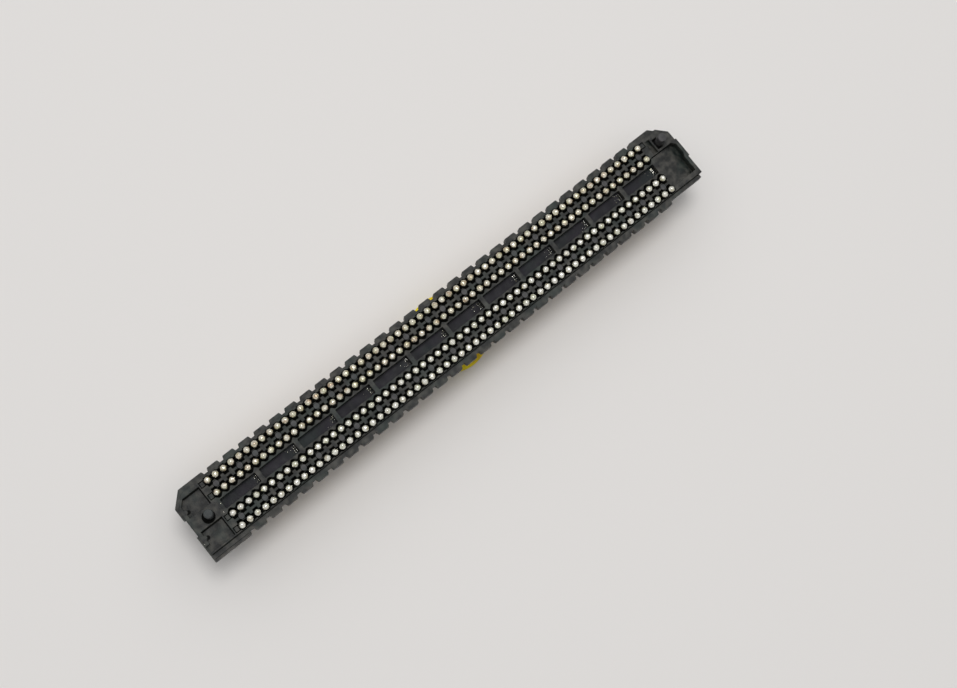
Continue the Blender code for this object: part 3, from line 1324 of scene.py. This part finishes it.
@dataclass
class EndGuides:
    """The two guides beyond the tongues, whose tips are the connector's feet as it lies."""

    housing: Housing
    gap: float = 0.55 * MM
    setback: float = 0.53 * MM
    half_width: float = 1.35 * MM
    lead: float = 0.35 * MM
    lead_height: float = 0.45 * MM
    edge_break: float = 0.05 * MM
    edge_segments: int = 2

    def build(self) -> None:
        """Builds both guides as one piece."""
        bm = bmesh.new()
        layout = self.housing.layout
        inner, outer = layout.field_half + self.gap, layout.half_length - self.setback
        length, width = outer - inner, 2 * self.half_width
        top = self.housing.flange_face + self.edge_break
        for side in (1, -1):
            made = bmesh.ops.create_cube(bm, size=1.0)
            verts = made["verts"]
            height = top - self.lead_height
            bmesh.ops.scale(bm, verts=verts, vec=(length, width, height))
            middle = Vector((side * (inner + outer) / 2, 0.0, self.lead_height + height / 2))
            bmesh.ops.translate(bm, verts=verts, vec=middle)
            faces = {face for vert in verts for face in vert.link_faces}
            bottom = min(faces, key=lambda face: face.calc_center_median().z)
            pulled = bmesh.ops.extrude_discrete_faces(bm, faces=[bottom])["faces"][0]
            tip = list(pulled.verts)
            bmesh.ops.translate(bm, verts=tip, vec=(0.0, 0.0, -self.lead_height))
            shrink = ((length - 2 * self.lead) / length, (width - 2 * self.lead) / width, 1.0)
            foot = Matrix.Translation((-middle.x, 0.0, 0.0))
            bmesh.ops.scale(bm, verts=tip, vec=shrink, space=foot)
            edges = list({edge for vert in verts + tip for edge in vert.link_edges})
            bevel_edges(bm, edges, self.edge_break, self.edge_segments)
        make_piece("end_guides", bm, BLACK_PLASTIC)


@dataclass
class RowPieces:
    """Like pieces at all positions: the loose ones one by one, and the others row by row."""

    layout: Layout
    loose: int = 5
    smooth_below: float = EDGE_ANGLE

    def _add(self, bm: Mesh, row: Row, index: int) -> None:
        """Adds the piece of one position, as each kind of piece says for itself."""
        raise NotImplementedError

    def _build_rows(self, name: str, node: str, finish: dict[Row, Finish]) -> None:
        """Builds all pieces of the kind.

        Args:
            name: Name of one piece, without its number.
            node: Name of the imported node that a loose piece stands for, without its number.
            finish: The finish of each row.
        """
        angle = self.smooth_below
        for row in Row:
            for index in range(self.loose):
                bm = bmesh.new()
                self._add(bm, row, index)
                number = f"{row.value}{index + 1:02d}"
                make_piece(f"{name}_{number}", bm, finish[row], [f"{node}_{number}"], angle)
            bm = bmesh.new()
            for index in range(self.loose, self.layout.positions):
                self._add(bm, row, index)
            make_piece(f"{name}s_row_{row.value}", bm, finish[row], smooth_below=angle)


@dataclass
class Contacts(RowPieces):
    """The gold contacts: a blade with a round tip on a tongue, and a stem up to its ball."""

    tip_steps: int = 6
    edge_break: float = 0.03 * MM
    stem_half_width: float = 0.12 * MM
    shoulder: float = 3.02 * MM

    def _outline(self, x: float) -> Outline:
        """Outline of one contact seen from the side, round its tip and up the stem.

        Args:
            x: Place of the contact.

        Returns:
            Points as (x, z).
        """
        half, steps = self.layout.blade_width / 2, self.tip_steps
        centre = self.layout.blade_tip + half
        turns = [math.pi * (1 + number / steps) for number in range(1, steps)]
        tip = [(x + half * math.cos(t), centre + half * math.sin(t)) for t in turns]
        stem, top = self.stem_half_width, self.layout.blade_top
        side = [(half, centre), (half, self.shoulder), (stem, self.shoulder), (stem, top)]
        sides = mirrored(x, side)
        return [*sides[: len(side)], *tip, *sides[len(side) :]]

    def _add(self, bm: Mesh, row: Row, index: int) -> None:
        """Adds one contact, its bevelled face turned away from its tongue.

        Args:
            bm: The mesh that gets it.
            row: Its row.
            index: Its position, counted from 0 at the -X end.
        """
        y = self.layout.row_y[row]
        outward = -math.copysign(1.0, y) if row.is_inner else math.copysign(1.0, y)
        half = outward * self.layout.blade_thickness / 2
        x = self.layout.position_x(index)
        upright_plate(bm, self._outline(x), y - half, y + half, self.edge_break)

    def build(self) -> None:
        """Builds all contacts."""
        self._build_rows("blade", "contact", dict.fromkeys(Row, STAINED_GOLD))


@dataclass
class SolderBalls(RowPieces):
    """The solder balls, each a little off round and off its place."""

    smooth_below: float = ALL_SMOOTH
    subdivisions: int = 2
    wobble: float = 0.012 * MM
    squeeze: float = 0.06
    lump: float = 0.045
    chance: random.Random = field(default_factory=lambda: random.Random(7))

    def _add(self, bm: Mesh, row: Row, index: int) -> None:
        """Adds one ball, with small errors that are drawn by chance.

        Args:
            bm: The mesh that gets it.
            row: Its row.
            index: Its position.
        """
        layout, chance = self.layout, self.chance
        verts = bmesh.ops.create_icosphere(
            bm, subdivisions=self.subdivisions, radius=layout.ball_radius
        )["verts"]
        for vert in verts:
            vert.co *= 1.0 + chance.uniform(-self.lump, self.lump)
        turn = Matrix.Rotation(chance.uniform(0.0, math.tau), 3, "Z")
        bmesh.ops.rotate(bm, verts=verts, cent=(0.0, 0.0, 0.0), matrix=turn)
        flat = 1.0 - chance.uniform(0.0, self.squeeze)
        bmesh.ops.scale(bm, verts=verts, vec=(1.0, flat, flat))
        x = layout.position_x(index) + chance.uniform(-self.wobble, self.wobble)
        y = layout.row_y[row] + chance.uniform(-self.wobble, self.wobble)
        bmesh.ops.translate(bm, verts=verts, vec=(x, y, layout.ball_centre))

    def build(self) -> None:
        """Builds all balls, those of the two rows on the +Y side with a duller finish."""
        finish = {row: DULL_SOLDER if row in (Row.A, Row.B) else BRIGHT_SOLDER for row in Row}
        self._build_rows("bead", "solder_ball", finish)


@dataclass
class GlintBeads:
    """Bright beads of the solder finish in the slots of the windows and on the body: painted
    highlights, standing for glints there.
    """

    housing: Housing
    subdivisions: int = 1
    radius_low: float = 0.034 * MM
    radius_high: float = 0.068 * MM
    lines: tuple[float, ...] = (-0.20 * MM, -0.08 * MM, 0.10 * MM, 0.21 * MM)
    share: float = 0.85
    scatter: int = 9
    scatter_reach: float = 0.7 * MM
    glint_radius: float = 0.095 * MM
    stray_glint_radius: float = 0.042 * MM
    stray_glints: tuple[Point, ...] = ((-18.97, 0.12), (-19.16, -0.46), (-21.38, -1.37))
    seed: int = 11

    def _add(self, bm: Mesh, x: float, y: float, z: float, radius: float) -> None:
        """Adds one glint bead, a sphere with few faces.

        Args:
            bm: The mesh that gets it.
            x: Place along X.
            y: Place along Y.
            z: Height of what it lies on.
            radius: Its radius.
        """
        place = Matrix.Translation((x, y, z + radius / 2))
        bmesh.ops.create_icosphere(bm, subdivisions=self.subdivisions, radius=radius, matrix=place)

    def build(self) -> None:
        """Builds all glint beads, painted highlights, as one piece."""
        bm = bmesh.new()
        chance = random.Random(self.seed)
        house = self.housing
        floor = house.seen_floor
        half = house.window_width / 2 - self.radius_high
        slots = [sorted({x for x, _ in house.window_slot(window)}) for window in house.windows()]
        # Beads along the slots' sides and scattered near the windows' +X ends: painted highlights.
        for sides in slots:
            for x in sides:
                for y in self.lines:
                    if chance.random() < self.share:
                        radius = chance.uniform(self.radius_low, self.radius_high)
                        self._add(bm, x, y, floor, radius)
            for _ in range(chance.randrange(self.scatter + 1)):
                x = sides[-1] - chance.uniform(0.0, self.scatter_reach)
                self._add(bm, x, chance.uniform(-half, half), floor, self.radius_low)
        # The larger beads in the last window's slot: a painted highlight.
        for y in self.lines[1:]:
            self._add(bm, sum(slots[-1]) / len(slots[-1]), y, floor, self.glint_radius)
        # Single beads on the body's face: painted highlights.
        for x, y in self.stray_glints:
            self._add(bm, x * MM, y * MM, house.body_face, self.stray_glint_radius)
        make_piece("glint_beads", bm, BRIGHT_SOLDER, smooth_below=ALL_SMOOTH)


@dataclass
class PickupPad:
    """The round film that a placing machine's nozzle holds."""

    layout: Layout
    segments: int = 96
    edge_break: float = 0.02 * MM
    edge_segments: int = 2

    def build(self) -> None:
        """Builds the pad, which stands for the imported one."""
        bm = bmesh.new()
        low, high = self.layout.pad_low, self.layout.pad_high
        radius, height = (high.x - low.x) / 2, high.z - low.z
        verts = cylinder(bm, (low + high) / 2, radius, height, self.segments)
        bevel_edges(bm, rims(verts, -math.inf), self.edge_break, self.edge_segments)
        make_piece("pad_film", bm, AMBER_FILM, ["pickup_pad"])


@dataclass
class Studio:
    """The pale floor, the soft light and the camera of the photograph."""

    photo_width: float = 957.0
    focal_pixels: float = 1400.0
    sensor: float = 36.0
    eye: Place = (-17.60 * MM, -9.99 * MM, 96.70 * MM)
    right: Place = (0.7722, -0.62725, 0.10128)
    up: Place = (0.60442, 0.77434, 0.18731)
    clip: Span = (0.001, 10.0)
    floor_size: float = 0.8
    floor_colour: Colour = (0.702, 0.679, 0.659)
    floor_roughness: float = 0.9
    floor_specular: float = 0.1
    backdrop_colour: Colour = (0.760, 0.745, 0.725)
    sky_colour: Colour = (0.98, 0.99, 1.0)
    sky_strength: Span = (0.10, 1.06)
    sky_towards: Place = (0.18, 0.34, 0.923)
    sky_range: Span = (0.30, 0.78)
    lamp_power: float = 0.235
    lamp_size: float = 0.11
    lamp_distance: float = 0.26
    lamp_towards: Place = (0.10, 0.17, 0.980)

    def build(self) -> None:
        """Builds the floor, the lamp, the world and the camera."""
        self._add_floor()
        self._add_lamp()
        self._set_world()
        self._add_camera()
        bpy.context.scene.view_settings.view_transform = "Standard"

    def _add_floor(self) -> None:
        """Adds the floor that the guides stand on."""
        bm = bmesh.new()
        bmesh.ops.create_grid(bm, x_segments=1, y_segments=1, size=self.floor_size / 2)
        mesh = bpy.data.meshes.new("floor")
        bm.to_mesh(mesh)
        bm.free()
        paint = bpy.data.materials.new("pale_floor")
        paint.use_nodes = True
        shader = paint.node_tree.nodes["Principled BSDF"]
        put(shader, "Base Color", (*self.floor_colour, 1.0))
        put(shader, "Roughness", self.floor_roughness)
        put(shader, "Specular IOR Level", self.floor_specular)
        mesh.materials.append(paint)
        add_object("floor", mesh)

    def _add_lamp(self) -> None:
        """Adds one soft lamp above the connector, towards the upper edge of the picture."""
        lamp = bpy.data.lights.new("sky_panel", "AREA")
        lamp.shape = "DISK"
        lamp.size = self.lamp_size
        lamp.energy = self.lamp_power
        towards = Vector(self.lamp_towards).normalized()
        made = add_object("sky_panel", lamp)
        made.location = towards * self.lamp_distance
        made.rotation_euler = towards.to_track_quat("Z", "Y").to_euler()

    def _set_world(self) -> None:
        """Sets a sky that is brighter overhead, behind a plain pale backdrop that is seen."""
        world = bpy.data.worlds.new("room")
        world.use_nodes = True
        tree = world.node_tree
        sky = tree.nodes["Background"]
        put(sky, "Color", (*self.sky_colour, 1.0))
        place = tree.nodes.new("ShaderNodeTexCoord")
        side = tree.nodes.new("ShaderNodeVectorMath")
        side.operation = "DOT_PRODUCT"
        side.inputs[1].default_value = Vector(self.sky_towards).normalized()
        height = tree.nodes.new("ShaderNodeMapRange")
        height.interpolation_type = "SMOOTHSTEP"
        put_span(height, "From", self.sky_range)
        put_span(height, "To", self.sky_strength)
        tree.links.new(place.outputs["Generated"], side.inputs[0])
        tree.links.new(side.outputs["Value"], height.inputs["Value"])
        tree.links.new(height.outputs["Result"], sky.inputs["Strength"])
        backdrop = tree.nodes.new("ShaderNodeBackground")
        put(backdrop, "Color", (*self.backdrop_colour, 1.0))
        rays = tree.nodes.new("ShaderNodeLightPath")
        either = tree.nodes.new("ShaderNodeMixShader")
        seen = rays.outputs["Is Camera Ray"]
        for kind in ("Is Glossy Ray", "Is Transmission Ray"):
            most = tree.nodes.new("ShaderNodeMath")
            most.operation = "MAXIMUM"
            tree.links.new(seen, most.inputs[0])
            tree.links.new(rays.outputs[kind], most.inputs[1])
            seen = most.outputs["Value"]
        tree.links.new(seen, either.inputs["Fac"])
        tree.links.new(sky.outputs["Background"], either.inputs[1])
        tree.links.new(backdrop.outputs["Background"], either.inputs[2])
        tree.links.new(either.outputs["Shader"], tree.nodes["World Output"].inputs["Surface"])
        bpy.context.scene.world = world

    def _add_camera(self) -> None:
        """Places the camera where the photograph was taken."""
        camera = bpy.data.cameras.new("photo_camera")
        camera.sensor_fit = "HORIZONTAL"
        camera.sensor_width = self.sensor
        camera.lens = self.focal_pixels / self.photo_width * self.sensor
        camera.clip_start, camera.clip_end = self.clip
        right = Vector(self.right).normalized()
        up = (Vector(self.up) - Vector(self.up).dot(right) * right).normalized()
        back = right.cross(up)
        turn = Matrix((right, up, back)).transposed().to_4x4()
        made = add_object("photo_camera", camera)
        made.matrix_world = Matrix.Translation(self.eye) @ turn
        bpy.context.scene.camera = made


def main() -> None:
    """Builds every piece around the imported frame."""
    logging.basicConfig(level=logging.INFO, format="%(message)s")
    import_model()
    layout = Layout.read()
    housing = Housing(layout)
    pockets = EndPockets(housing)
    housing.build(pockets)
    Posts(housing).build(pockets)
    Tongues(housing).build()
    EndGuides(housing).build()
    Contacts(layout).build()
    SolderBalls(layout).build()
    GlintBeads(housing).build()
    PickupPad(layout).build()
    Studio().build()


if __name__ == "__main__":
    main()
